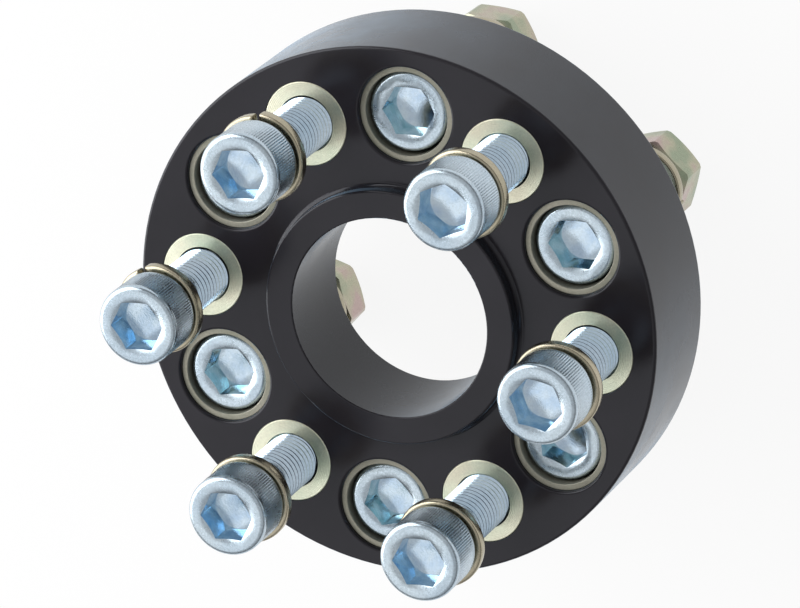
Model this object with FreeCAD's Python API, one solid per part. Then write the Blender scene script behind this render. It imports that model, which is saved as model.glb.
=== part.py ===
import FreeCAD, Part
import os
from math import cos, degrees, hypot, radians, sin, sqrt, tan

# A flexible disc coupling: one moulded rubber ring with twelve steel bushes bonded into it.
# Six bushes are threaded and take the front screws, six are cups that hold the through screws.
# Frame: millimetres, +Z along the axis and out of the front face, the front face is at Z = 0.

# Rubber disc, from the bore outwards: collar, flat ring, holes for the cup bushes and rim
bore_diameter = 60.5
collar_wall = 8.25
flat_ring_width = 7.7
rim_wall = 5.2
disc_thickness = 37.5
collar_height = 4.5
recess_depth = 10.0
recess_clearance = 1.0
rim_round = 0.9
collar_edge_round = 0.7
collar_foot_round = 1.3
bore_edge_round = 0.4
recess_corner_round = 1.5
hole_mouth_round = 0.8

# Stations round the disc, a threaded bush and a cup bush by turns
stations = 6

# Metric fasteners with a 16 mm thread
thread_diameter = 16.0
screw_length = 60.0
tip_chamfer = 1.2
head_ratio = 1.5
head_height = 13.4
head_edge_round = 1.5
head_foot_round = 0.4
neck_round = 0.6
key_across_flats = 14.0
socket_depth = 8.5
socket_mouth_angle = 30.0
socket_point_angle = 28.0
thread_fit = 0.05

# Threaded bushes, flush with both faces of the disc
bush_wall = 4.7
bush_mouth_chamfer = 0.5
bush_edge_chamfer = 0.3

# Cup bushes, whose lip lies a little below the front face
cup_wall = 1.8
cup_lip_depth = 1.4
cup_head_clearance = 0.5
cup_lip_round = 0.25
cup_thread_clearance = 0.5
head_recess = 3.1
bond_gap = 0.02

# Split spring washers, sprung open
washer_thread_clearance = 0.45
washer_width = 4.65
washer_thickness = 3.5
washer_spring = 2.4
washer_split = 5.0
washer_seat_gap = 0.02
washer_head_gap = 0.2

# Loose pieces hang as they do in the photo: washers off centre and leaning on their screws, and
# the nut ends of the through screws sunk in their holes, all as far as the clearances let them
hang_angle = 161.0
hang_share = 0.6

# Hexagon nuts
nut_ratio = 1.5
nut_height = 13.0
nut_chamfer_angle = 30.0
nut_flat_share = 0.95
nut_corner_share = 0.975
nut_mouth_chamfer = 0.7

# Each screw and nut is turned in by its own amount, so heights and angles differ by station
front_grips = (33.5, 30.9, 29.4, 35.0, 32.6, 32.0)
front_socket_turns = (10.0, 28.0, -6.0, 7.0, 8.0, 8.0)
front_split_angles = (-22.0, 60.0, 110.0, 90.0, 150.0, -3.0)
front_lean_shares = (0.7, 0.7, 0.5, 0.45, 0.2, 0.85)
front_lean_angles = (84.0, 97.0, 207.0, 178.0, 151.0, 84.0)
through_sag_shares = (0.95, 0.35, 0.35, 0.35, 0.3, 0.35)
through_socket_turns = (5.0, 7.0, 44.0, 17.0, 12.0, 30.0)
thread_past_nuts = (3.8, 4.4, 2.9, 3.4, 1.9, 4.2)
nut_turns = (0.0, 20.0, 11.0, 35.0, -8.0, 48.0)
rear_split_angles = (100.0, -128.0, 20.0, 160.0, 60.0, -60.0)

# Sizes that follow from the ones above
thread_radius = thread_diameter / 2
head_radius = thread_radius * head_ratio
bush_radius = thread_radius + bush_wall
cup_bore_radius = head_radius + cup_head_clearance
cup_radius = cup_bore_radius + cup_wall
washer_inner_radius = thread_radius + washer_thread_clearance
washer_outer_radius = washer_inner_radius + washer_width
washer_hang = washer_thread_clearance * hang_share
widest_lean = degrees(washer_thread_clearance / washer_thickness)
nut_across_flats = thread_diameter * nut_ratio
bore_radius = bore_diameter / 2
collar_radius = bore_radius + collar_wall
recess_radius = collar_radius + recess_clearance / 2
station_radius = collar_radius + flat_ring_width + cup_radius
disc_radius = station_radius + cup_radius + rim_wall
back_face = -disc_thickness
recess_floor = back_face + recess_depth
through_head_seat = -head_recess - head_height
through_tip = through_head_seat - screw_length
widest_sag = degrees(cup_thread_clearance / (disc_thickness + through_head_seat))
station_step = 360.0 / stations


# Lines and tangent arcs through corners (radius, height, rounding), as a closed wire in the XZ plane
def rounded_outline(corners):
    count = len(corners)
    entries = []
    for index, (x, z, rounding) in enumerate(corners):
        before = corners[index - 1]
        after = corners[(index + 1) % count]
        back = direction((x, z), before)
        forth = direction((x, z), after)
        if rounding > 0:
            entries.append(tangent_arc(x, z, back, forth, rounding))
        else:
            entries.append((point_at(x, z), None, point_at(x, z)))
    edges = []
    for index, (start, middle, end) in enumerate(entries):
        if middle is not None:
            edges.append(Part.Arc(start, middle, end).toShape())
        following = entries[(index + 1) % count][0]
        if end.distanceToPoint(following) > 1e-6:
            edges.append(Part.LineSegment(end, following).toShape())
    return Part.Wire(edges)


# Unit step from a corner towards its neighbour
def direction(corner, neighbour):
    x = neighbour[0] - corner[0]
    z = neighbour[1] - corner[1]
    length = hypot(x, z)
    return x / length, z / length


# Start, middle and end of the arc that rounds a corner
def tangent_arc(x, z, back, forth, rounding):
    cosine = back[0] * forth[0] + back[1] * forth[1]
    half_sine = sqrt((1 - cosine) / 2)
    half_cosine = sqrt((1 + cosine) / 2)
    reach = rounding * half_cosine / half_sine
    bisector = direction((0, 0), (back[0] + forth[0], back[1] + forth[1]))
    to_middle = rounding / half_sine - rounding
    start = point_at(x + back[0] * reach, z + back[1] * reach)
    middle = point_at(x + bisector[0] * to_middle, z + bisector[1] * to_middle)
    end = point_at(x + forth[0] * reach, z + forth[1] * reach)
    return start, middle, end


def point_at(radius, height):
    return FreeCAD.Vector(radius, 0, height)


# A solid turned on the Z axis from its half outline
def turned(corners):
    face = Part.Face(rounded_outline(corners))
    return face.revolve(FreeCAD.Vector(0, 0, 0), FreeCAD.Vector(0, 0, 1), 360)


# An upright hexagonal bar that stands on Z = 0, with one corner at the given angle
def hexagonal_bar(across_flats, height, turn):
    corner_radius = across_flats / sqrt(3)
    corners = []
    for side in range(7):
        angle = radians(turn + 60 * side)
        corners.append(FreeCAD.Vector(corner_radius * cos(angle), corner_radius * sin(angle), 0))
    return Part.Face(Part.makePolygon(corners)).extrude(FreeCAD.Vector(0, 0, height))


# A copy of a shape, moved to its place round the disc
def placed(shape, angle, height=0.0):
    x = station_radius * cos(radians(angle))
    y = station_radius * sin(radians(angle))
    moved = shape.copy()
    moved.translate(FreeCAD.Vector(x, y, height))
    return moved


def front_angle(index):
    return -station_step * index


def through_angle(index):
    return -station_step * (index + 0.5)


# The moulded ring with its front collar, rear recess and twelve holes
def rubber_disc():
    disc = turned([
        (bore_radius, collar_height, bore_edge_round),
        (bore_radius, recess_floor, bore_edge_round),
        (recess_radius, recess_floor, recess_corner_round),
        (recess_radius, back_face, bore_edge_round),
        (disc_radius, back_face, rim_round),
        (disc_radius, 0, rim_round),
        (collar_radius, 0, collar_foot_round),
        (collar_radius, collar_height, collar_edge_round),
    ])
    for index in range(stations):
        disc = disc.cut(placed(bore_hole(bush_radius + bond_gap), front_angle(index)))
        disc = disc.cut(placed(bore_hole(cup_radius + bond_gap), through_angle(index)))
    return disc.makeFillet(hole_mouth_round, cup_hole_mouths(disc))


# A plain cutter through the full thickness
def bore_hole(radius):
    return Part.makeCylinder(radius, disc_thickness + 2, FreeCAD.Vector(0, 0, back_face - 1))


# The front edges of the holes that hold the cups
def cup_hole_mouths(disc):
    mouths = []
    for edge in disc.Edges:
        curve = edge.Curve
        if not isinstance(curve, Part.Circle):
            continue
        at_front = abs(curve.Center.z) < 1e-6
        if at_front and abs(curve.Radius - cup_radius - bond_gap) < 1e-6:
            mouths.append(edge)
    return mouths


# A threaded bush, bored to the thread's outer diameter
def threaded_bush():
    hole = thread_radius + thread_fit
    mouth = hole + bush_mouth_chamfer
    outer = bush_radius - bush_edge_chamfer
    return turned([
        (hole, -bush_mouth_chamfer, 0),
        (mouth, 0, 0),
        (outer, 0, 0),
        (bush_radius, -bush_edge_chamfer, 0),
        (bush_radius, back_face + bush_edge_chamfer, 0),
        (outer, back_face, 0),
        (mouth, back_face, 0),
        (hole, back_face + bush_mouth_chamfer, 0),
    ])


# A cup bush: a bore for the screw head, a seat under it and a clearance hole
def cup_bush():
    hole = thread_radius + cup_thread_clearance
    return turned([
        (cup_bore_radius, -cup_lip_depth, cup_lip_round),
        (cup_radius, -cup_lip_depth, cup_lip_round),
        (cup_radius, back_face, bush_edge_chamfer),
        (hole, back_face, bush_edge_chamfer),
        (hole, through_head_seat - neck_round, 0),
        (hole + neck_round, through_head_seat, 0),
        (cup_bore_radius, through_head_seat, 0),
    ])


# A socket cap screw, hanging from the front of its head at Z = 0
def cap_screw(socket_turn):
    end = -head_height - screw_length
    body = turned([
        (0, 0, 0),
        (head_radius, 0, head_edge_round),
        (head_radius, -head_height, head_foot_round),
        (thread_radius, -head_height, neck_round),
        (thread_radius, end + tip_chamfer, 0),
        (thread_radius - tip_chamfer, end, 0),
        (0, end, 0),
    ])
    return body.cut(key_socket(socket_turn))


# The cutter for a hexagon socket with a countersunk mouth and a conical bottom
def key_socket(socket_turn):
    flat_radius = key_across_flats / 2
    corner_radius = key_across_flats / sqrt(3)
    point_depth = flat_radius * tan(radians(socket_point_angle))
    sink_depth = (corner_radius - flat_radius) * tan(radians(socket_mouth_angle))
    prism = hexagonal_bar(key_across_flats, socket_depth, socket_turn)
    prism.translate(FreeCAD.Vector(0, 0, -socket_depth))
    point = Part.makeCone(0, flat_radius, point_depth, FreeCAD.Vector(0, 0, -socket_depth - point_depth))
    sink = Part.makeCone(flat_radius, corner_radius, sink_depth, FreeCAD.Vector(0, 0, -sink_depth))
    return prism.fuse(point).fuse(sink)


# A spring washer round the origin: one left-hand turn of square-cornered bar
def spring_washer(split_angle):
    middle_radius = (washer_inner_radius + washer_outer_radius) / 2
    rise = washer_spring * (360.0 - washer_split) / 360.0
    path = Part.makeHelix(washer_spring, rise, middle_radius, 0, True)
    low = washer_thickness / 2
    section = Part.makePolygon([
        point_at(washer_inner_radius, -low),
        point_at(washer_outer_radius, -low),
        point_at(washer_outer_radius, low),
        point_at(washer_inner_radius, low),
        point_at(washer_inner_radius, -low),
    ])
    bar = Part.Wire(path.Edges).makePipeShell([section], True, True)
    bar.translate(FreeCAD.Vector(0, 0, -rise / 2))
    bar.rotate(FreeCAD.Vector(0, 0, 0), FreeCAD.Vector(0, 0, 1), split_angle - washer_split / 2)
    return bar


# A shape turned about a point of its axis, so that the side at the given angle goes down
def tipped(shape, height, angle, tilt):
    axis = FreeCAD.Vector(-sin(radians(angle)), cos(radians(angle)), 0)
    shape.rotate(FreeCAD.Vector(0, 0, height), axis, tilt)
    return shape


# A washer under a front head: tipped down on one side, hung off centre, its top on Z = 0
def hung_washer(split_angle, lean_share, lean_angle):
    washer = tipped(spring_washer(split_angle), 0, lean_angle, widest_lean * lean_share)
    x = washer_hang * cos(radians(hang_angle))
    y = washer_hang * sin(radians(hang_angle))
    washer.translate(FreeCAD.Vector(x, y, -washer.optimalBoundingBox().ZMax))
    return washer


# A washer on the front of a nut, its foot on Z = 0
def seated_washer(split_angle):
    washer = spring_washer(split_angle)
    washer.translate(FreeCAD.Vector(0, 0, -washer.optimalBoundingBox().ZMin))
    return washer


# A chamfered hexagon nut that stands on Z = 0
def hexagon_nut(turn):
    flat_radius = nut_across_flats / 2 * nut_flat_share
    corner_radius = nut_across_flats / sqrt(3) * nut_corner_share
    slope = (corner_radius - flat_radius) * tan(radians(nut_chamfer_angle))
    envelope = turned([
        (0, 0, 0),
        (flat_radius, 0, 0),
        (corner_radius, slope, 0),
        (corner_radius, nut_height - slope, 0),
        (flat_radius, nut_height, 0),
        (0, nut_height, 0),
    ])
    hole = thread_radius + thread_fit
    mouth = hole + nut_mouth_chamfer
    thread_space = turned([
        (0, 0, 0),
        (mouth, 0, 0),
        (hole, nut_mouth_chamfer, 0),
        (hole, nut_height - nut_mouth_chamfer, 0),
        (mouth, nut_height, 0),
        (0, nut_height, 0),
    ])
    return hexagonal_bar(nut_across_flats, nut_height, turn).common(envelope).cut(thread_space)


# The threaded bush with its screw and spring washer, at one front station
def front_station(index):
    angle = front_angle(index)
    underside = front_grips[index]
    washer = hung_washer(front_split_angles[index], front_lean_shares[index], front_lean_angles[index])
    return {
        "threaded_bush": placed(threaded_bush(), angle),
        "front_screw": placed(cap_screw(front_socket_turns[index]), angle, underside + head_height),
        "front_spring_washer": placed(washer, angle, underside - washer_head_gap),
    }


# The cup bush with its screw, spring washer and nut, at one through station
def through_station(index):
    angle = through_angle(index)
    nut_back = through_tip + thread_past_nuts[index]
    washer_foot = nut_back + nut_height + washer_seat_gap
    hung = {
        "through_screw": (cap_screw(through_socket_turns[index]), -head_recess),
        "rear_spring_washer": (seated_washer(rear_split_angles[index]), washer_foot),
        "hexagon_nut": (hexagon_nut(nut_turns[index]), nut_back),
    }
    tilt = widest_sag * through_sag_shares[index]
    lift = head_radius * sin(radians(tilt))
    pieces = {"cup_bush": placed(cup_bush(), angle)}
    for name, (shape, height) in hung.items():
        shape.translate(FreeCAD.Vector(0, 0, height))
        pieces[name] = placed(tipped(shape, through_head_seat, hang_angle, -tilt), angle, lift)
    return pieces


def build():
    nodes = {"rubber_disc": rubber_disc()}
    for index in range(stations):
        pieces = {**front_station(index), **through_station(index)}
        for name, shape in pieces.items():
            nodes[f"{name}_{index + 1}"] = shape
    return nodes


os.makedirs("parts", exist_ok=True)
for name, shape in build().items():
    shape.exportStep(f"parts/{name}.step")
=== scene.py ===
import bpy
from math import atan2, cos, degrees, hypot, pi, radians, sin, sqrt, tan
from mathutils import Matrix, Vector

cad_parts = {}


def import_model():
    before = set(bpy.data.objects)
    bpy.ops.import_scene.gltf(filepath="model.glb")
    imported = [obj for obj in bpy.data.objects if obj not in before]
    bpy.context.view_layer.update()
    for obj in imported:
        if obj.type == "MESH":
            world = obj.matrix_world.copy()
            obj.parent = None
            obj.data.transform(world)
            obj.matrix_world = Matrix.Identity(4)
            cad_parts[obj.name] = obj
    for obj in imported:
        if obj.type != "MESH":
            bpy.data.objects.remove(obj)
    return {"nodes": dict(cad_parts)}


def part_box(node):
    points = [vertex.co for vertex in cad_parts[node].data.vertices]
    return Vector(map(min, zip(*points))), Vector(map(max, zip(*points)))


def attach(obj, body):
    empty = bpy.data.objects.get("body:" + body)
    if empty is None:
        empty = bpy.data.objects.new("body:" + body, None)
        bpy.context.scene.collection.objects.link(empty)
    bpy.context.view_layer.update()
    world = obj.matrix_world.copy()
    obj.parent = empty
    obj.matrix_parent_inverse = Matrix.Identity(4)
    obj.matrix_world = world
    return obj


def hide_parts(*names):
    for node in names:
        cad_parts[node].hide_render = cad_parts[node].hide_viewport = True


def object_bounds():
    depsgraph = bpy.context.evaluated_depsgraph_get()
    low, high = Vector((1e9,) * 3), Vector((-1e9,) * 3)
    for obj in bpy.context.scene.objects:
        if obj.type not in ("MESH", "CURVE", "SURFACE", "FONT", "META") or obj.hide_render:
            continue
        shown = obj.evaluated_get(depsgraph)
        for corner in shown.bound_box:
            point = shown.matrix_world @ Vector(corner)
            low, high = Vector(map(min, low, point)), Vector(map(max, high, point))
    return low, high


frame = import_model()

# A flexible disc coupling. Pieces are modelled in millimetres round their own axis,
# then copied into place in metres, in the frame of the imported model.
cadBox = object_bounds()
millimetre = 0.001
near = 0.01       # how far off a point may be, in millimetres, and still count as in its place
merged = 0.0001   # and how far apart two points may be and still become one

# Where the screws stand in the frame, how far each nut's back lies from its screw's tip,
# and which way and how far the through screws sag, as shares of what their holes allow
stations = {
    "count": 6, "radius": 60.5, "headFront": -3.1, "screwTip": -76.5,
    "nutPast": (3.8, 4.4, 2.9, 3.4, 1.9, 4.2), "hangAngle": 161,
    "holeClearance": 0.5, "holeLength": 21, "sagShares": (0.95, 0.35, 0.35, 0.35, 0.3, 0.35),
}


# Small tools for working as by hand

def selectOnly(piece):
    bpy.ops.object.select_all(action="DESELECT")
    piece.select_set(True)
    bpy.context.view_layer.objects.active = piece


def nameNew(name):
    piece = bpy.context.active_object
    piece.name = name
    piece.data.name = name
    bpy.ops.object.transform_apply(location=True, rotation=True, scale=True)
    return piece


def editWith(piece, kind, test):
    # opens edit mode with only those vertices, edges or faces selected that pass the test
    selectOnly(piece)
    bpy.ops.object.mode_set(mode="EDIT")
    bpy.ops.mesh.select_mode(type=kind)
    bpy.ops.mesh.select_all(action="DESELECT")
    bpy.ops.object.mode_set(mode="OBJECT")
    mesh = piece.data
    parts = {"VERT": mesh.vertices, "EDGE": mesh.edges, "FACE": mesh.polygons}
    for part in parts[kind]:
        part.select = test(part)
    bpy.ops.object.mode_set(mode="EDIT")


def doneEditing():
    bpy.ops.object.mode_set(mode="OBJECT")


def edgeAtHeight(piece, height):
    points = piece.data.vertices
    return lambda edge: all(abs(points[i].co.z - height) < near for i in edge.vertices)


def uprightEdge(piece):
    # one that climbs by more than a millimetre
    points = piece.data.vertices
    return lambda edge: abs(points[edge.vertices[0]].co.z - points[edge.vertices[1]].co.z) > 1


def facesDown(face):
    return face.normal.z < -0.99


def fromAxis(face):
    return hypot(face.center.x, face.center.y)


def useModifier(piece, kind, **settings):
    selectOnly(piece)
    modifier = piece.modifiers.new(kind.title(), kind)
    for key, value in settings.items():
        setattr(modifier, key, value)
    bpy.ops.object.modifier_apply(modifier=modifier.name)


def combine(piece, other, operation):
    useModifier(piece, "BOOLEAN", object=other, operation=operation, solver="EXACT")
    bpy.data.objects.remove(other)


def tidyMesh(piece):
    editWith(piece, "VERT", lambda part: True)
    bpy.ops.mesh.remove_doubles(threshold=merged)
    bpy.ops.mesh.normals_make_consistent(inside=False)
    doneEditing()


def smoothByAngle(piece, limit=35):
    selectOnly(piece)
    bpy.ops.object.shade_smooth_by_angle(angle=radians(limit))


def drawProfile(name, points):
    # one vertex, extruded from point to point (radius, height) in the XZ plane
    bpy.ops.object.select_all(action="DESELECT")
    bpy.ops.mesh.primitive_plane_add(size=1)
    piece = nameNew(name)
    editWith(piece, "VERT", lambda part: True)
    bpy.ops.mesh.merge(type="CENTER")
    x, z = points[0]
    bpy.ops.transform.translate(value=(x, 0, z))
    for nextX, nextZ in points[1:]:
        step = (nextX - x, 0, nextZ - z)
        bpy.ops.mesh.extrude_vertices_move(TRANSFORM_OT_translate={"value": step})
        x, z = nextX, nextZ
    doneEditing()
    return piece


def roundCorners(piece, corners, size, segments):
    # rounds the profile's vertices that lie at the given points
    def isCorner(vertex):
        return any(hypot(vertex.co.x - x, vertex.co.z - z) < near for x, z in corners)
    editWith(piece, "VERT", isCorner)
    bpy.ops.mesh.bevel(offset=size, offset_type="OFFSET", segments=segments, affect="VERTICES")
    doneEditing()


def cutAcross(piece, height, keepAbove):
    # a level cut that drops one side and closes the opening
    editWith(piece, "FACE", lambda part: True)
    bpy.ops.mesh.bisect(
        plane_co=(0, 0, height), plane_no=(0, 0, 1), use_fill=True,
        clear_inner=keepAbove, clear_outer=not keepAbove, threshold=merged,
    )
    doneEditing()


def spinRound(piece, steps):
    # turns a profile round the Z axis into a closed solid
    useModifier(
        piece, "SCREW", axis="Z", angle=2 * pi, screw_offset=0, iterations=1,
        steps=steps, render_steps=steps, use_merge_vertices=True, merge_threshold=merged,
    )
    tidyMesh(piece)


def paintFaces(piece, slotIndex, test):
    # gives the chosen faces the material of the piece's slot with that number
    editWith(piece, "FACE", test)
    piece.active_material_index = slotIndex
    bpy.ops.object.material_slot_assign()
    doneEditing()


def stationPoint(index, half):
    # in metres, and half a step further round for the through screws
    angle = radians(-360 / stations["count"] * (index + 0.5 * half))
    radius = stations["radius"] * millimetre
    return radius * cos(angle), radius * sin(angle)


def tipped(angle, tilt):
    # the turn that lowers the side at the given angle
    axis = Vector((-sin(radians(angle)), cos(radians(angle)), 0))
    return Matrix.Rotation(radians(tilt), 4, axis)


def throughPlace(index, height, turn):
    # place and turn of what hangs with a through screw, whose nut end has sunk in its hole
    x, y = stationPoint(index, 1)
    sag = degrees(stations["holeClearance"] / stations["holeLength"])
    tilt = sag * stations["sagShares"][index]
    sink = tipped(stations["hangAngle"], -tilt)
    seat = stations["headFront"] - screw["headHeight"]
    lift = screw["headRadius"] * sin(radians(tilt))
    spot = Vector((0, 0, seat + lift)) + sink @ Vector((0, 0, height - seat))
    return Vector((x, y, 0)) + spot * millimetre, sink @ Matrix.Rotation(radians(turn), 4, "Z")


def placeCopy(master, name, node, spot, turn):
    # spot is the place of the master's origin, in metres, and turn is in degrees or a matrix
    piece = bpy.data.objects.new(name, master.data.copy())
    piece.data.name = name
    bpy.context.collection.objects.link(piece)
    if not isinstance(turn, Matrix):
        turn = Matrix.Rotation(radians(turn), 4, "Z")
    piece.data.transform(Matrix.Translation(spot) @ turn @ Matrix.Scale(millimetre, 4))
    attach(piece, "root")
    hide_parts(node)
    return piece


# Socket cap screw

screw = {
    "headRadius": 12, "headHeight": 13.4, "edgeRound": 1.5, "footRound": 0.4, "roundSteps": 96,
    "threadRadius": 8, "rootRadius": 6.78, "length": 60, "pitch": 2, "threadAngle": 30,
    "crestShare": 1 / 8, "grooveShare": 0.4, "turnSteps": 48,
    "neckRadius": 8.6, "neckLength": 0.6, "tipChamfer": 1.2,
    "knurlCount": 96, "knurlDepth": 0.24, "knurlStart": 2.0, "knurlEnd": 12.4, "knurlFade": 0.35,
    "keyAcross": 14, "keyDepth": 8.5, "keyEdge": 0.25, "pointAngle": 28, "mouthAngle": 30,
    "frontTurns": (10, 28, -6, 7, 8, 8), "throughTurns": (5, 7, 44, 17, 12, 30),
}


def knurledHead():
    s = screw
    bpy.ops.object.select_all(action="DESELECT")
    bpy.ops.mesh.primitive_cylinder_add(
        vertices=3 * s["knurlCount"], radius=s["headRadius"], depth=s["headHeight"],
        location=(0, 0, -s["headHeight"] / 2),
    )
    head = nameNew("screwHead")
    editWith(head, "EDGE", edgeAtHeight(head, 0))
    bpy.ops.mesh.bevel(offset=s["edgeRound"], segments=6, affect="EDGES")
    doneEditing()
    editWith(head, "EDGE", edgeAtHeight(head, -s["headHeight"]))
    bpy.ops.mesh.bevel(offset=s["footRound"], segments=2, affect="EDGES")
    doneEditing()
    knurlRings(head)
    neck(head)
    return head


def knurlRings(head):
    # every third line of vertices between the rings sinks in, which makes the grooves
    s = screw
    fade = s["knurlFade"]
    for depth in (s["knurlStart"], s["knurlStart"] + fade, s["knurlEnd"] - fade, s["knurlEnd"]):
        editWith(head, "FACE", lambda part: True)
        bpy.ops.mesh.bisect(plane_co=(0, 0, -depth), plane_no=(0, 0, 1), threshold=merged)
        doneEditing()
    step = 2 * pi / (3 * s["knurlCount"])

    def inGroove(vertex):
        x, y, z = vertex.co
        line = round(atan2(y, x) / step)
        deep = -s["knurlEnd"] + fade / 2 < z < -s["knurlStart"] - fade / 2
        return deep and line % 3 == 0 and hypot(x, y) > s["headRadius"] - near
    editWith(head, "VERT", inGroove)
    inward = 1 - s["knurlDepth"] / s["headRadius"]
    bpy.ops.transform.resize(value=(inward, inward, 1), center_override=(0, 0, 0))
    doneEditing()


def neck(head):
    # the small fillet between the head's underside and the thread
    s = screw
    editWith(head, "FACE", facesDown)
    bpy.ops.mesh.inset(thickness=s["headRadius"] - s["footRound"] - s["neckRadius"])
    shrink = s["threadRadius"] / s["neckRadius"]
    bpy.ops.mesh.extrude_region_move(TRANSFORM_OT_translate={"value": (0, 0, -s["neckLength"])})
    bpy.ops.transform.resize(value=(shrink, shrink, 1), center_override=(0, 0, -s["headHeight"]))
    doneEditing()


def cutSocket(head):
    # the hexagon, the drill's point below it and the countersink at its mouth
    s = screw
    flat = s["keyAcross"] / 2
    corner = s["keyAcross"] / sqrt(3)
    above = 2   # how far the hexagon's cutter stands out of the head
    bpy.ops.object.select_all(action="DESELECT")
    bpy.ops.mesh.primitive_cylinder_add(
        vertices=6, radius=corner, depth=s["keyDepth"] + above,
        location=(0, 0, (above - s["keyDepth"]) / 2), rotation=(0, 0, radians(30)),
    )
    prism = nameNew("keyPrism")
    editWith(prism, "EDGE", uprightEdge(prism))
    bpy.ops.mesh.bevel(offset=s["keyEdge"], segments=2, affect="EDGES")
    doneEditing()
    combine(head, prism, "DIFFERENCE")

    pointDepth = flat * tan(radians(s["pointAngle"]))
    inset, overlap = 0.02, 0.01   # keep the point's rim off the hexagon's flats and floor
    bpy.ops.object.select_all(action="DESELECT")
    bpy.ops.mesh.primitive_cone_add(
        vertices=s["roundSteps"], radius1=flat - inset, radius2=0, depth=pointDepth,
        location=(0, 0, -s["keyDepth"] + overlap - pointDepth / 2), rotation=(pi, 0, 0),
    )
    combine(head, nameNew("keyPoint"), "DIFFERENCE")

    slope = tan(radians(s["mouthAngle"]))
    sink = (corner - flat) * slope
    rise, margin = 1, 0.15   # the countersink's cutter above the head, and past the corners
    bpy.ops.object.select_all(action="DESELECT")
    bpy.ops.mesh.primitive_cone_add(
        vertices=s["roundSteps"], radius1=flat, radius2=corner + margin + rise / slope,
        depth=sink + rise, location=(0, 0, (rise - sink) / 2),
    )
    combine(head, nameNew("keyMouth"), "DIFFERENCE")


def threadedRod(name, top, bottom, outer, root):
    # one turn's profile, wound up past both heights and cut off level at each. A turn starts
    # at Z = 0, so that the thread in a bush can be turned to meet that of its screw
    s = screw
    pitch = s["pitch"]
    slope = (outer - root) * tan(radians(s["threadAngle"]))
    crest = pitch * s["crestShare"]
    foot = pitch - crest - 2 * slope
    spareTurns = 2   # wound past either end, and cut off
    turns = int((top - bottom) / pitch) + spareTurns + 1
    start = -pitch * (int(-bottom / pitch) + spareTurns)
    share = s["grooveShare"]
    middle = root + share * (outer - root)
    points = [
        (root, 0), (root, foot), (middle, foot + share * slope), (outer, foot + slope),
        (outer, foot + slope + crest), (middle, pitch - share * slope), (root, pitch),
    ]
    rod = drawProfile(name, [(x, z + start) for x, z in points])
    useModifier(
        rod, "SCREW", axis="Z", angle=2 * pi, screw_offset=pitch, iterations=turns,
        steps=s["turnSteps"], render_steps=s["turnSteps"], use_merge_vertices=False,
    )
    tidyMesh(rod)
    cutAcross(rod, bottom, True)
    cutAcross(rod, top, False)
    tidyMesh(rod)
    return rod


def chamferTip(rod):
    # keeps what lies inside a chamfered cylinder a little wider than the thread
    s = screw
    tip = -s["headHeight"] - s["length"]
    wider, above = 0.5, 10
    bpy.ops.object.select_all(action="DESELECT")
    bpy.ops.mesh.primitive_cylinder_add(
        vertices=s["roundSteps"], radius=s["threadRadius"] + wider, depth=s["length"] + above,
        location=(0, 0, tip + s["length"] / 2 + above / 2),
    )
    envelope = nameNew("tipEnvelope")
    editWith(envelope, "EDGE", edgeAtHeight(envelope, tip))
    bpy.ops.mesh.bevel(offset=s["tipChamfer"] + wider, segments=1, affect="EDGES")
    doneEditing()
    combine(rod, envelope, "INTERSECT")


def capScrew():
    s = screw
    buried = 1   # the rod's top ends inside the head
    head = knurledHead()
    cutSocket(head)
    rod = threadedRod(
        "screwThread", -s["headHeight"] + buried, -s["headHeight"] - s["length"],
        s["threadRadius"], s["rootRadius"],
    )
    chamferTip(rod)
    combine(head, rod, "UNION")
    tidyMesh(head)
    smoothByAngle(head)
    return head


# Which faces of the screw get a finish of their own, the socket walls and thread roots in painted
# shade:
# depths from the head's face or foot, margins on radii, and the Z of a normal at which a face is no
# wall or lies level
screwPaint = {
    "wallTop": 0.6, "coneTop": 1, "threadTop": 0.7, "rootEnd": 1,
    "cornerMargin": 0.1, "crestMargin": 0.05, "wallTilt": 0.3, "levelTilt": 0.95,
}


# socket walls: these faces get a darker, bluer zinc as painted shade
def onSocketWall(face):
    s, p = screw, screwPaint
    inside = fromAxis(face) < s["keyAcross"] / sqrt(3) + p["cornerMargin"]
    deep = -s["keyDepth"] < face.center.z < -p["wallTop"]
    return inside and deep and abs(face.normal.z) < p["wallTilt"]


def onSocketCone(face):
    s, p = screw, screwPaint
    deep = -s["headHeight"] < face.center.z < -s["keyDepth"] + p["coneTop"]
    return fromAxis(face) < s["keyAcross"] / 2 and deep and face.normal.z > p["wallTilt"]


def onThread(face):
    s, p = screw, screwPaint
    below = face.center.z < -s["headHeight"] - p["threadTop"]
    return below and fromAxis(face) < s["threadRadius"] + p["crestMargin"]


# thread roots: these faces get a dark zinc as painted shade in the thread's grooves
def inThreadRoot(face):
    s, p = screw, screwPaint
    groove = s["rootRadius"] + s["grooveShare"] * (s["threadRadius"] - s["rootRadius"])
    tip = -s["headHeight"] - s["length"]
    along = tip + p["rootEnd"] < face.center.z < -s["headHeight"] - p["threadTop"]
    return fromAxis(face) < groove and along and abs(face.normal.z) < p["levelTilt"]


# Spring washer

washer = {
    "inner": 8.45, "outer": 13.1, "thickness": 3.5, "spring": 2.4, "split": 5,
    "cornerRound": 0.8, "endRound": 0.3, "steps": 96, "headGap": 0.2, "nutGap": 0.02,
    "hang": 0.27, "clearance": 0.45,
    "frontSplits": (-22, 60, 110, 90, 150, -3), "rearSplits": (100, -128, 20, 160, 60, -60),
    "leanShares": (0.7, 0.7, 0.5, 0.45, 0.2, 0.85), "leanAngles": (84, 97, 207, 178, 151, 84),
}


def washerRise():
    return washer["spring"] * (360 - washer["split"]) / 360


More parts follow.
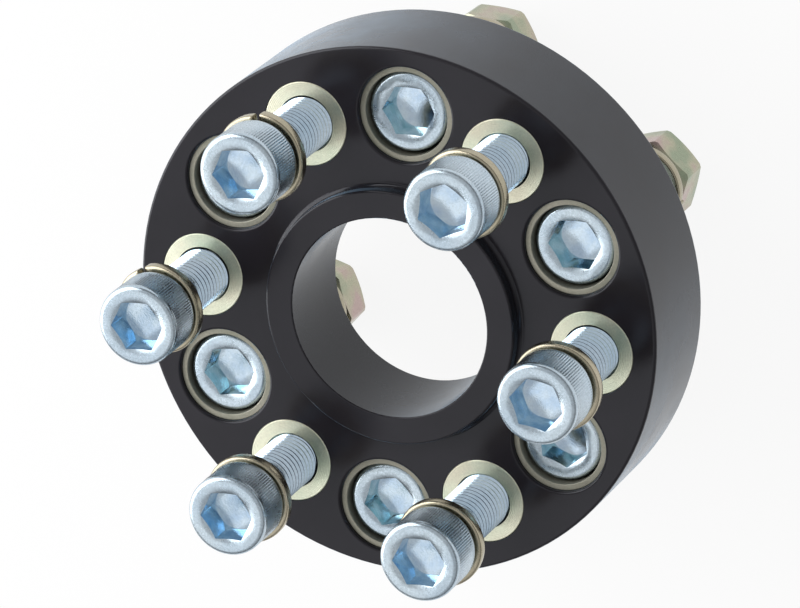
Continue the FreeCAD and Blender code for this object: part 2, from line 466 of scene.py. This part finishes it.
def springWasher():
    # a rounded bar, wound one left-hand turn round the origin, with its split centred on +X
    w = washer
    low = -(washerRise() + w["thickness"]) / 2
    high = low + w["thickness"]
    corners = [(w["inner"], low), (w["outer"], low), (w["outer"], high), (w["inner"], high)]
    bar = drawProfile("springWasher", corners + corners[:1])
    tidyMesh(bar)
    roundCorners(bar, corners, w["cornerRound"], segments=4)
    useModifier(
        bar, "SCREW", axis="Z", angle=-radians(360 - w["split"]), screw_offset=washerRise(),
        iterations=1, steps=w["steps"], render_steps=w["steps"], use_merge_vertices=False,
    )
    editWith(bar, "VERT", lambda part: True)
    bpy.ops.mesh.fill_holes(sides=0)
    bpy.ops.mesh.normals_make_consistent(inside=False)
    halfSplit = radians(w["split"] / 2)
    bpy.ops.transform.rotate(value=halfSplit, orient_axis="Z", center_override=(0, 0, 0))
    doneEditing()
    useModifier(
        bar, "BEVEL", width=w["endRound"], segments=2,
        limit_method="ANGLE", angle_limit=radians(60),
    )
    smoothByAngle(bar)
    return bar


def washerTurn(split, lean, leanAngle):
    # about the washer's own axis first, then tipped down on one side
    return tipped(leanAngle, lean) @ Matrix.Rotation(radians(split), 4, "Z")


def washerTop(turn):
    # the highest point of the square-cornered bar, as the frame's solid has it
    w = washer
    heights = []
    steps = 4 * w["steps"]
    for step in range(steps + 1):
        along = step / steps
        angle = radians(-w["split"] / 2 - (360 - w["split"]) * along)
        z = washerRise() * (along - 0.5) + w["thickness"] / 2
        for radius in (w["inner"], w["outer"]):
            heights.append((turn @ Vector((radius * cos(angle), radius * sin(angle), z))).z)
    return max(heights)


def hungWasher(master, index, headSpot):
    # hangs under a front head, off centre and leaning
    w = washer
    lean = degrees(w["clearance"] / w["thickness"]) * w["leanShares"][index]
    turn = washerTurn(w["frontSplits"][index], lean, w["leanAngles"][index])
    down = screw["headHeight"] + w["headGap"] + washerTop(turn)
    side = radians(stations["hangAngle"])
    hang = Vector((cos(side), sin(side), 0)) * w["hang"]
    spot = Vector(headSpot) + (hang - Vector((0, 0, down))) * millimetre
    number = index + 1
    placeCopy(master, f"frontWasher{number}", f"front_spring_washer_{number}", spot, turn)


def seatedWasher(master, index, nutFront):
    # lies flat on a nut
    w = washer
    height = nutFront + w["nutGap"] + (washerRise() + w["thickness"]) / 2
    spot, turn = throughPlace(index, height, w["rearSplits"][index])
    number = index + 1
    placeCopy(master, f"rearWasher{number}", f"rear_spring_washer_{number}", spot, turn)


# Threaded bush

bush = {
    "outer": 12.7, "height": 37.5, "minor": 6.9, "major": 8.05, "root": 6.83, "mouth": 8.55,
    "edgeChamfer": 0.3, "steps": 128, "boreMargin": 0.05,
    "rings": {"pitch": 0.0005, "strength": 0.35, "depth": 0.00004},   # turning marks, in metres
}


def threadedBush():
    # hangs from Z = 0, and is cut with a tap a little larger than the screws' thread
    b = bush
    foot = -b["height"]
    chamfer = b["mouth"] - b["minor"]
    body = drawProfile("threadedBush", [
        (b["minor"], -chamfer), (b["mouth"], 0), (b["outer"] - b["edgeChamfer"], 0),
        (b["outer"], -b["edgeChamfer"]), (b["outer"], foot + b["edgeChamfer"]),
        (b["outer"] - b["edgeChamfer"], foot), (b["mouth"], foot), (b["minor"], foot + chamfer),
        (b["minor"], -chamfer),
    ])
    spinRound(body, b["steps"])
    past = 1   # how far the tap stands out at both ends
    combine(body, threadedRod("bushTap", past, foot - past, b["major"], b["root"]), "DIFFERENCE")
    tidyMesh(body)
    smoothByAngle(body)
    return body


# faces in a bush's bore, which get a darker olive as painted shade
def inBore(face, spot):
    x, y, z = face.center
    reach = (bush["major"] + bush["boreMargin"]) * millimetre
    return hypot(x - spot[0], y - spot[1]) < reach


# Hexagon nut

nut = {
    "across": 24, "height": 13, "chamferAngle": 30, "flatShare": 0.95, "cornerShare": 0.975,
    "edgeRound": 0.3, "hole": 8.05, "mouth": 8.75, "steps": 128, "boreSteps": 96, "smoothAngle": 20,
    "turns": (0, 20, 11, 35, -8, 48),
}


def hexagonNut():
    # stands on Z = 0, with one corner on +X
    n = nut
    corner = n["across"] / sqrt(3)
    bpy.ops.object.select_all(action="DESELECT")
    bpy.ops.mesh.primitive_cylinder_add(
        vertices=6, radius=corner, depth=n["height"], location=(0, 0, n["height"] / 2),
        rotation=(0, 0, radians(30)),
    )
    body = nameNew("hexagonNut")
    editWith(body, "EDGE", uprightEdge(body))
    bpy.ops.mesh.bevel(offset=n["edgeRound"], segments=2, affect="EDGES")
    doneEditing()

    # the corners' chamfers, from a turned envelope
    flat = n["across"] / 2 * n["flatShare"]
    slope = tan(radians(n["chamferAngle"]))
    reach = corner * n["cornerShare"]
    rise = (reach - flat) * slope
    envelope = drawProfile("chamferEnvelope", [
        (0, 0), (flat, 0), (reach, rise), (reach, n["height"] - rise), (flat, n["height"]),
        (0, n["height"]),
    ])
    spinRound(envelope, n["steps"])
    combine(body, envelope, "INTERSECT")

    chamfer = n["mouth"] - n["hole"]
    past = 1   # how far the bore's cutter stands out at both ends
    bore = drawProfile("nutBore", [
        (0, -past), (n["mouth"] + past, -past), (n["hole"], chamfer),
        (n["hole"], n["height"] - chamfer), (n["mouth"] + past, n["height"] + past),
        (0, n["height"] + past),
    ])
    spinRound(bore, n["boreSteps"])
    combine(body, bore, "DIFFERENCE")
    tidyMesh(body)
    smoothByAngle(body, n["smoothAngle"])
    return body


# Materials

def newMaterial(name):
    material = bpy.data.materials.new(name)
    material.use_nodes = True
    tree = material.node_tree
    shader = tree.nodes["Principled BSDF"]
    place = tree.nodes.new("ShaderNodeTexCoord")
    return material, tree, shader, place


def mapped(tree, place, spot=(0, 0, 0), scale=(1, 1, 1)):
    mapping = tree.nodes.new("ShaderNodeMapping")
    mapping.inputs["Location"].default_value = spot
    mapping.inputs["Scale"].default_value = scale
    tree.links.new(place.outputs["Object"], mapping.inputs["Vector"])
    return mapping.outputs["Vector"]


def noise(tree, vector, scale, detail=4, roughness=0.5):
    node = tree.nodes.new("ShaderNodeTexNoise")
    node.inputs["Scale"].default_value = scale
    node.inputs["Detail"].default_value = detail
    node.inputs["Roughness"].default_value = roughness
    tree.links.new(vector, node.inputs["Vector"])
    return node.outputs["Fac"]


def ramp(tree, value, stops):
    node = tree.nodes.new("ShaderNodeValToRGB")
    band = node.color_ramp
    while len(band.elements) < len(stops):
        band.elements.new(0.5)
    for element, (place, colour) in zip(band.elements, stops):
        element.position = place
        element.color = (*colour, 1)
    tree.links.new(value, node.inputs["Fac"])
    return node.outputs["Color"]


def grey(level):
    return (level, level, level)


def greyRamp(tree, value, band, levels):
    # from one level to another between the two ends of a band
    return ramp(tree, value, [(place, grey(level)) for place, level in zip(band, levels)])


def bumped(tree, height, strength, distance, below=None):
    node = tree.nodes.new("ShaderNodeBump")
    node.inputs["Strength"].default_value = strength
    node.inputs["Distance"].default_value = distance
    tree.links.new(height, node.inputs["Height"])
    if below is not None:
        tree.links.new(below, node.inputs["Normal"])
    return node.outputs["Normal"]


# A noise's size is its scale, detail and roughness
plating = {
    "speckSize": (1500, 3, 0.7), "speckBand": (0.35, 0.65), "grainSize": (2600, 3, 0.6),
    "patchDetail": 3, "polishFiner": 4, "polishDetail": 5, "polishBand": (0.3, 0.7),
}


def mottled(tree, vector, colour, dark):
    # fine light and dark specks over a colour
    fine = noise(tree, vector, *plating["speckSize"])
    specks = greyRamp(tree, fine, plating["speckBand"], (dark, 1))
    mix = tree.nodes.new("ShaderNodeMix")
    mix.data_type = "RGBA"
    mix.blend_type = "MULTIPLY"
    mix.inputs["Factor"].default_value = 1
    tree.links.new(colour, mix.inputs["A"])
    tree.links.new(specks, mix.inputs["B"])
    return mix.outputs["Result"]


def plate(name, stops, roughness, patch, grain, mottle, rings=None, spot=(0, 0, 0)):
    # zinc plating: a metal with soft patches of tint, a fine grain and, on turned faces, rings
    p = plating
    material, tree, shader, place = newMaterial(name)
    vector = mapped(tree, place)
    tint = ramp(tree, noise(tree, vector, patch, p["patchDetail"]), stops)
    tree.links.new(mottled(tree, vector, tint, mottle), shader.inputs["Base Color"])
    shader.inputs["Metallic"].default_value = 1
    uneven = noise(tree, vector, patch * p["polishFiner"], p["polishDetail"])
    tree.links.new(greyRamp(tree, uneven, p["polishBand"], roughness), shader.inputs["Roughness"])
    normal = bumped(tree, noise(tree, vector, *p["grainSize"]), *grain)
    if rings:
        waves = turnedRings(tree, place, spot, rings["pitch"])
        normal = bumped(tree, waves, rings["strength"], rings["depth"], normal)
    tree.links.new(normal, shader.inputs["Normal"])
    return material


def turnedRings(tree, place, spot, pitch):
    # waves that run out from the axis at that spot
    vector = mapped(tree, place, (-spot[0], -spot[1], 0), (1, 1, 0))
    length = tree.nodes.new("ShaderNodeVectorMath")
    length.operation = "LENGTH"
    tree.links.new(vector, length.inputs[0])
    across = tree.nodes.new("ShaderNodeMath")
    across.operation = "MULTIPLY"
    across.inputs[1].default_value = 2 * pi / pitch
    tree.links.new(length.outputs["Value"], across.inputs[0])
    wave = tree.nodes.new("ShaderNodeMath")
    wave.operation = "SINE"
    tree.links.new(across.outputs[0], wave.inputs[0])
    return wave.outputs[0]


finishes = {
    "blueZinc": {
        "stops": [(0.3, (0.51, 0.62, 0.72)), (0.7, (0.63, 0.73, 0.80))],
        "roughness": (0.2, 0.33), "patch": 60, "grain": (0.5, 0.00006), "mottle": 0.8,
    },
    # socket walls, darker and bluer than the head: painted shade inside the socket
    "shadedSocketZinc": {
        "stops": [(0.35, (0.25, 0.48, 0.68)), (0.65, (0.50, 0.71, 0.86))],
        "roughness": (0.06, 0.13), "patch": 200, "grain": (0.2, 0.00004), "mottle": 0.9,
    },
    # the through screws' socket walls, darker and teal: painted shade inside the socket
    "shadedTealSocketZinc": {
        "stops": [(0.35, (0.24, 0.52, 0.58)), (0.65, (0.56, 0.76, 0.80))],
        "roughness": (0.06, 0.13), "patch": 200, "grain": (0.2, 0.00004), "mottle": 0.9,
    },
    "conePlate": {
        "stops": [(0.35, (0.50, 0.64, 0.80)), (0.65, (0.64, 0.76, 0.86))],
        "roughness": (0.06, 0.12), "patch": 220, "grain": (0.3, 0.00005), "mottle": 0.9,
    },
    "threadZinc": {
        "stops": [(0.3, (0.57, 0.74, 0.90)), (0.7, (0.72, 0.85, 0.97))],
        "roughness": (0.06, 0.1), "patch": 60, "grain": (0.4, 0.00005), "mottle": 0.85,
    },
    # thread roots, much darker than the crests: painted shade in the grooves
    "grooveShadeZinc": {
        "stops": [(0.3, (0.10, 0.14, 0.20)), (0.7, (0.18, 0.23, 0.30))],
        "roughness": (0.3, 0.4), "patch": 140, "grain": (0.2, 0.00004), "mottle": 0.9,
    },
    "yellowZinc": {
        "stops": [
            (0.35, (0.66, 0.73, 0.57)), (0.5, (0.80, 0.82, 0.65)), (0.65, (0.79, 0.76, 0.60)),
        ],
        "roughness": (0.32, 0.42), "patch": 50, "grain": (0.3, 0.00005), "mottle": 0.88,
    },
    "oliveZinc": {
        "stops": [(0.3, (0.29, 0.29, 0.23)), (0.7, (0.43, 0.41, 0.34))],
        "roughness": (0.25, 0.35), "patch": 70, "grain": (0.25, 0.00005), "mottle": 0.85,
    },
    "brownZinc": {
        "stops": [(0.3, (0.40, 0.37, 0.27)), (0.7, (0.56, 0.50, 0.38))],
        "roughness": (0.2, 0.3), "patch": 80, "grain": (0.25, 0.00005), "mottle": 0.85,
    },
    "nutZinc": {
        "stops": [
            (0.35, (0.33, 0.38, 0.27)), (0.5, (0.48, 0.46, 0.34)), (0.65, (0.52, 0.40, 0.37)),
        ],
        "roughness": (0.22, 0.34), "patch": 90, "grain": (0.3, 0.00006), "mottle": 0.88,
    },
}

# Each pair is for deep in the cup and for its lip, whose depth is in metres
cup = {"metal": (0.7, 1.0), "roughness": (0.5, 0.3), "lipDepth": 0.0006}


def cupFinish():
    # plated like the washers on its lip, duller down in the cup, where little light comes
    material = plate("cupZinc", **finishes["oliveZinc"])
    tree = material.node_tree
    shader = tree.nodes["Principled BSDF"]
    place = tree.nodes.new("ShaderNodeTexCoord")
    split = tree.nodes.new("ShaderNodeSeparateXYZ")
    tree.links.new(place.outputs["Object"], split.inputs[0])
    depth = tree.nodes.new("ShaderNodeMapRange")
    depth.inputs["From Min"].default_value = -cup["lipDepth"]
    depth.inputs["From Max"].default_value = 0
    tree.links.new(split.outputs["Z"], depth.inputs["Value"])
    for name, levels in (("Metallic", cup["metal"]), ("Roughness", cup["roughness"])):
        value = greyRamp(tree, depth.outputs["Result"], (0, 1), levels)
        tree.links.new(value, shader.inputs[name])
    return material


# Each pair of levels lies in patches of a noise, given by its size and by the band it covers
rubber = {
    "colour": [(0.3, (0.013, 0.011, 0.013)), (0.75, (0.022, 0.019, 0.023))], "cloudSize": (25, 5),
    "roughness": (0.14, 0.24), "polishSize": (90, 6, 0.6), "polishBand": (0.3, 0.7),
    "shine": 0.34, "shineTint": (0.88, 0.92, 1.0, 1),
    "bloom": (0.3, 0.8), "bloomSize": (30, 4, 0.6), "bloomBand": (0.35, 0.65),
    "bloomRoughness": 0.28, "bloomTint": (0.5, 0.74, 1.0, 1),
    "waves": (0.06, 0.0005), "waveSize": (40, 2),
    "grain": (0.12, 0.00006), "grainSize": (1800, 4, 0.65),
}


def rubberFinish():
    # moulded rubber: faint clouds of colour and gloss, a bluish bloom, low waves and a fine grain
    r = rubber
    material, tree, shader, place = newMaterial("blackRubber")
    vector = mapped(tree, place)
    colour = ramp(tree, noise(tree, vector, *r["cloudSize"]), r["colour"])
    polish = greyRamp(tree, noise(tree, vector, *r["polishSize"]), r["polishBand"], r["roughness"])
    bloom = greyRamp(tree, noise(tree, vector, *r["bloomSize"]), r["bloomBand"], r["bloom"])
    normal = bumped(tree, noise(tree, vector, *r["waveSize"]), *r["waves"])
    normal = bumped(tree, noise(tree, vector, *r["grainSize"]), *r["grain"], normal)
    tree.links.new(colour, shader.inputs["Base Color"])
    tree.links.new(polish, shader.inputs["Roughness"])
    tree.links.new(bloom, shader.inputs["Sheen Weight"])
    tree.links.new(normal, shader.inputs["Normal"])
    shader.inputs["Specular IOR Level"].default_value = r["shine"]
    shader.inputs["Specular Tint"].default_value = r["shineTint"]
    shader.inputs["Sheen Roughness"].default_value = r["bloomRoughness"]
    shader.inputs["Sheen Tint"].default_value = r["bloomTint"]
    return material


def give(piece, *materials):
    piece.data.materials.clear()
    for material in materials:
        piece.data.materials.append(material)


def dress(node, material):
    for slot in frame["nodes"][node].material_slots:
        slot.material = material


# Floor, light and camera

studio = {
    "floorColour": 0.9, "floorShare": 0.9, "floorSize": 8,
    "world": [(0.0, 0.16), (0.38, 0.26), (0.62, 0.58)],
    "key": {
        "azimuth": 48, "elevation": 25, "distance": 1.2, "width": 2.2, "height": 1.2, "power": 25,
    },
    "top": {
        "azimuth": 108, "elevation": 60, "distance": 1.4, "width": 0.9, "height": 0.9, "power": 1.3,
    },
}


def whiteForCamera(tree, shade, share):
    # the camera, mirrors and clear paths see part white glow and part shaded floor
    path = tree.nodes.new("ShaderNodeLightPath")
    seen = path.outputs["Is Camera Ray"]
    for kind in ("Is Glossy Ray", "Is Transmission Ray"):
        either = tree.nodes.new("ShaderNodeMath")
        either.operation = "MAXIMUM"
        tree.links.new(seen, either.inputs[0])
        tree.links.new(path.outputs[kind], either.inputs[1])
        seen = either.outputs[0]
    factor = tree.nodes.new("ShaderNodeMath")
    factor.operation = "MULTIPLY"
    factor.inputs[1].default_value = share
    tree.links.new(seen, factor.inputs[0])
    white = tree.nodes.new("ShaderNodeEmission")
    both = tree.nodes.new("ShaderNodeMixShader")
    tree.links.new(factor.outputs[0], both.inputs[0])
    tree.links.new(shade, both.inputs[1])
    tree.links.new(white.outputs[0], both.inputs[2])
    return both.outputs[0]


def floor():
    bpy.ops.object.select_all(action="DESELECT")
    bpy.ops.mesh.primitive_plane_add(size=studio["floorSize"], location=(0, 0, cadBox[0][2]))
    piece = nameNew("studioFloor")
    material = bpy.data.materials.new("paleFloor")
    material.use_nodes = True
    tree = material.node_tree
    tree.nodes.remove(tree.nodes["Principled BSDF"])
    paint = tree.nodes.new("ShaderNodeBsdfDiffuse")
    paint.inputs["Color"].default_value = (*grey(studio["floorColour"]), 1)
    surface = tree.nodes["Material Output"].inputs["Surface"]
    tree.links.new(whiteForCamera(tree, paint.outputs[0], studio["floorShare"]), surface)
    give(piece, material)


def world():
    # grey all round, lighter towards the top: pairs of a height and a level
    sky = bpy.data.worlds.new("studioWorld")
    bpy.context.scene.world = sky
    sky.use_nodes = True
    tree = sky.node_tree
    back = tree.nodes["Background"]
    place = tree.nodes.new("ShaderNodeTexCoord")
    split = tree.nodes.new("ShaderNodeSeparateXYZ")
    tree.links.new(place.outputs["Generated"], split.inputs[0])
    heights, levels = zip(*studio["world"])
    tree.links.new(greyRamp(tree, split.outputs["Z"], heights, levels), back.inputs["Color"])


def softbox(name, lamp):
    # stands in that direction, and faces the origin
    azimuth, elevation = radians(lamp["azimuth"]), radians(lamp["elevation"])
    aim = Vector((cos(azimuth) * cos(elevation), sin(azimuth) * cos(elevation), sin(elevation)))
    bpy.ops.object.light_add(type="AREA", location=aim * lamp["distance"])
    light = bpy.context.active_object
    light.name = name
    light.data.shape = "RECTANGLE"
    light.data.size = lamp["width"]
    light.data.size_y = lamp["height"]
    light.data.energy = lamp["power"]
    light.rotation_euler = aim.to_track_quat("Z", "Y").to_euler()


camera = {
    "place": (0.25976, -0.81409, 1.4387),
    "turn": (-20.9968, 22.7958, -117.1037),
    "lens": 262.45, "sensor": 36, "clipStart": 0.1,
}


def addCamera():
    turn = [radians(angle) for angle in camera["turn"]]
    bpy.ops.object.camera_add(location=camera["place"], rotation=turn)
    view = bpy.context.active_object
    view.data.lens = camera["lens"]
    view.data.sensor_width = camera["sensor"]
    view.data.clip_start = camera["clipStart"]
    bpy.context.scene.camera = view


# The whole

def frontBush(master, index, spot, headFront, dark):
    # turned so that its thread meets that of its screw
    turn = screw["frontTurns"][index] - 360 * headFront / millimetre / screw["pitch"]
    number = index + 1
    piece = placeCopy(master, f"threadedBush{number}", f"threaded_bush_{number}", (*spot, 0), turn)
    turned = plate(f"yellowZinc{number}", rings=bush["rings"], spot=spot, **finishes["yellowZinc"])
    give(piece, turned, dark)
    # the bore and its mouth get the darker olive: painted shade inside the bush
    paintFaces(piece, 1, lambda face: inBore(face, spot))


def build():
    blue = plate("blueZinc", **finishes["blueZinc"])
    # painted shade for the socket walls, blue for the front screws and teal for the through screws
    deep = plate("shadedSocketZinc", **finishes["shadedSocketZinc"])
    tealSocketShade = plate("shadedTealSocketZinc", **finishes["shadedTealSocketZinc"])
    thread = plate("threadZinc", **finishes["threadZinc"])
    # painted shade for the thread's roots
    groove = plate("grooveShadeZinc", **finishes["grooveShadeZinc"])
    cone = plate("conePlate", **finishes["conePlate"])
    brown = plate("brownZinc", **finishes["brownZinc"])
    pale = plate("nutZinc", **finishes["nutZinc"])
    # a darker olive for the bushes' bores: painted shade
    boreShadeOlive = plate("oliveZinc", **finishes["oliveZinc"])
    cupZinc = cupFinish()
    dress("rubber_disc", rubberFinish())
    print("finishes mixed")

    screwMaster = capScrew()
    give(screwMaster, blue, deep, groove, cone, thread)
    # the grooves' painted shade is painted over the rest of the thread
    for slotIndex, test in ((1, onSocketWall), (4, onThread), (2, inThreadRoot), (3, onSocketCone)):
        paintFaces(screwMaster, slotIndex, test)
    print("screw modelled:", len(screwMaster.data.polygons), "faces")
    washerMaster = springWasher()
    give(washerMaster, brown)
    print("spring washer modelled:", len(washerMaster.data.polygons), "faces")
    bushMaster = threadedBush()
    print("threaded bush modelled:", len(bushMaster.data.polygons), "faces")
    nutMaster = hexagonNut()
    give(nutMaster, pale)
    print("nut modelled:", len(nutMaster.data.polygons), "faces")

    for index in range(stations["count"]):
        number = index + 1
        x, y = stationPoint(index, 0)
        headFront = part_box(f"front_screw_{number}")[1].z
        spot = (x, y, headFront)
        placeCopy(screwMaster, f"frontScrew{number}", f"front_screw_{number}", spot,
                  screw["frontTurns"][index])
        hungWasher(washerMaster, index, spot)
        frontBush(bushMaster, index, (x, y), headFront, boreShadeOlive)

        spot, turn = throughPlace(index, stations["headFront"], screw["throughTurns"][index])
        piece = placeCopy(screwMaster, f"throughScrew{number}", f"through_screw_{number}", spot,
                          turn)
        # the through screws' socket walls get the teal painted shade
        piece.data.materials[1] = tealSocketShade
        nutBack = stations["screwTip"] + stations["nutPast"][index]
        seatedWasher(washerMaster, index, nutBack + nut["height"])
        spot, turn = throughPlace(index, nutBack, nut["turns"][index])
        placeCopy(nutMaster, f"nut{number}", f"hexagon_nut_{number}", spot, turn)
        dress(f"cup_bush_{number}", cupZinc)
    for master in (screwMaster, washerMaster, bushMaster, nutMaster):
        bpy.data.objects.remove(master)
    print("pieces placed")


bpy.ops.object.select_all(action="DESELECT")
build()
floor()
world()
softbox("keyLight", studio["key"])
softbox("topLight", studio["top"])
addCamera()
bpy.context.scene.view_settings.view_transform = "Standard"
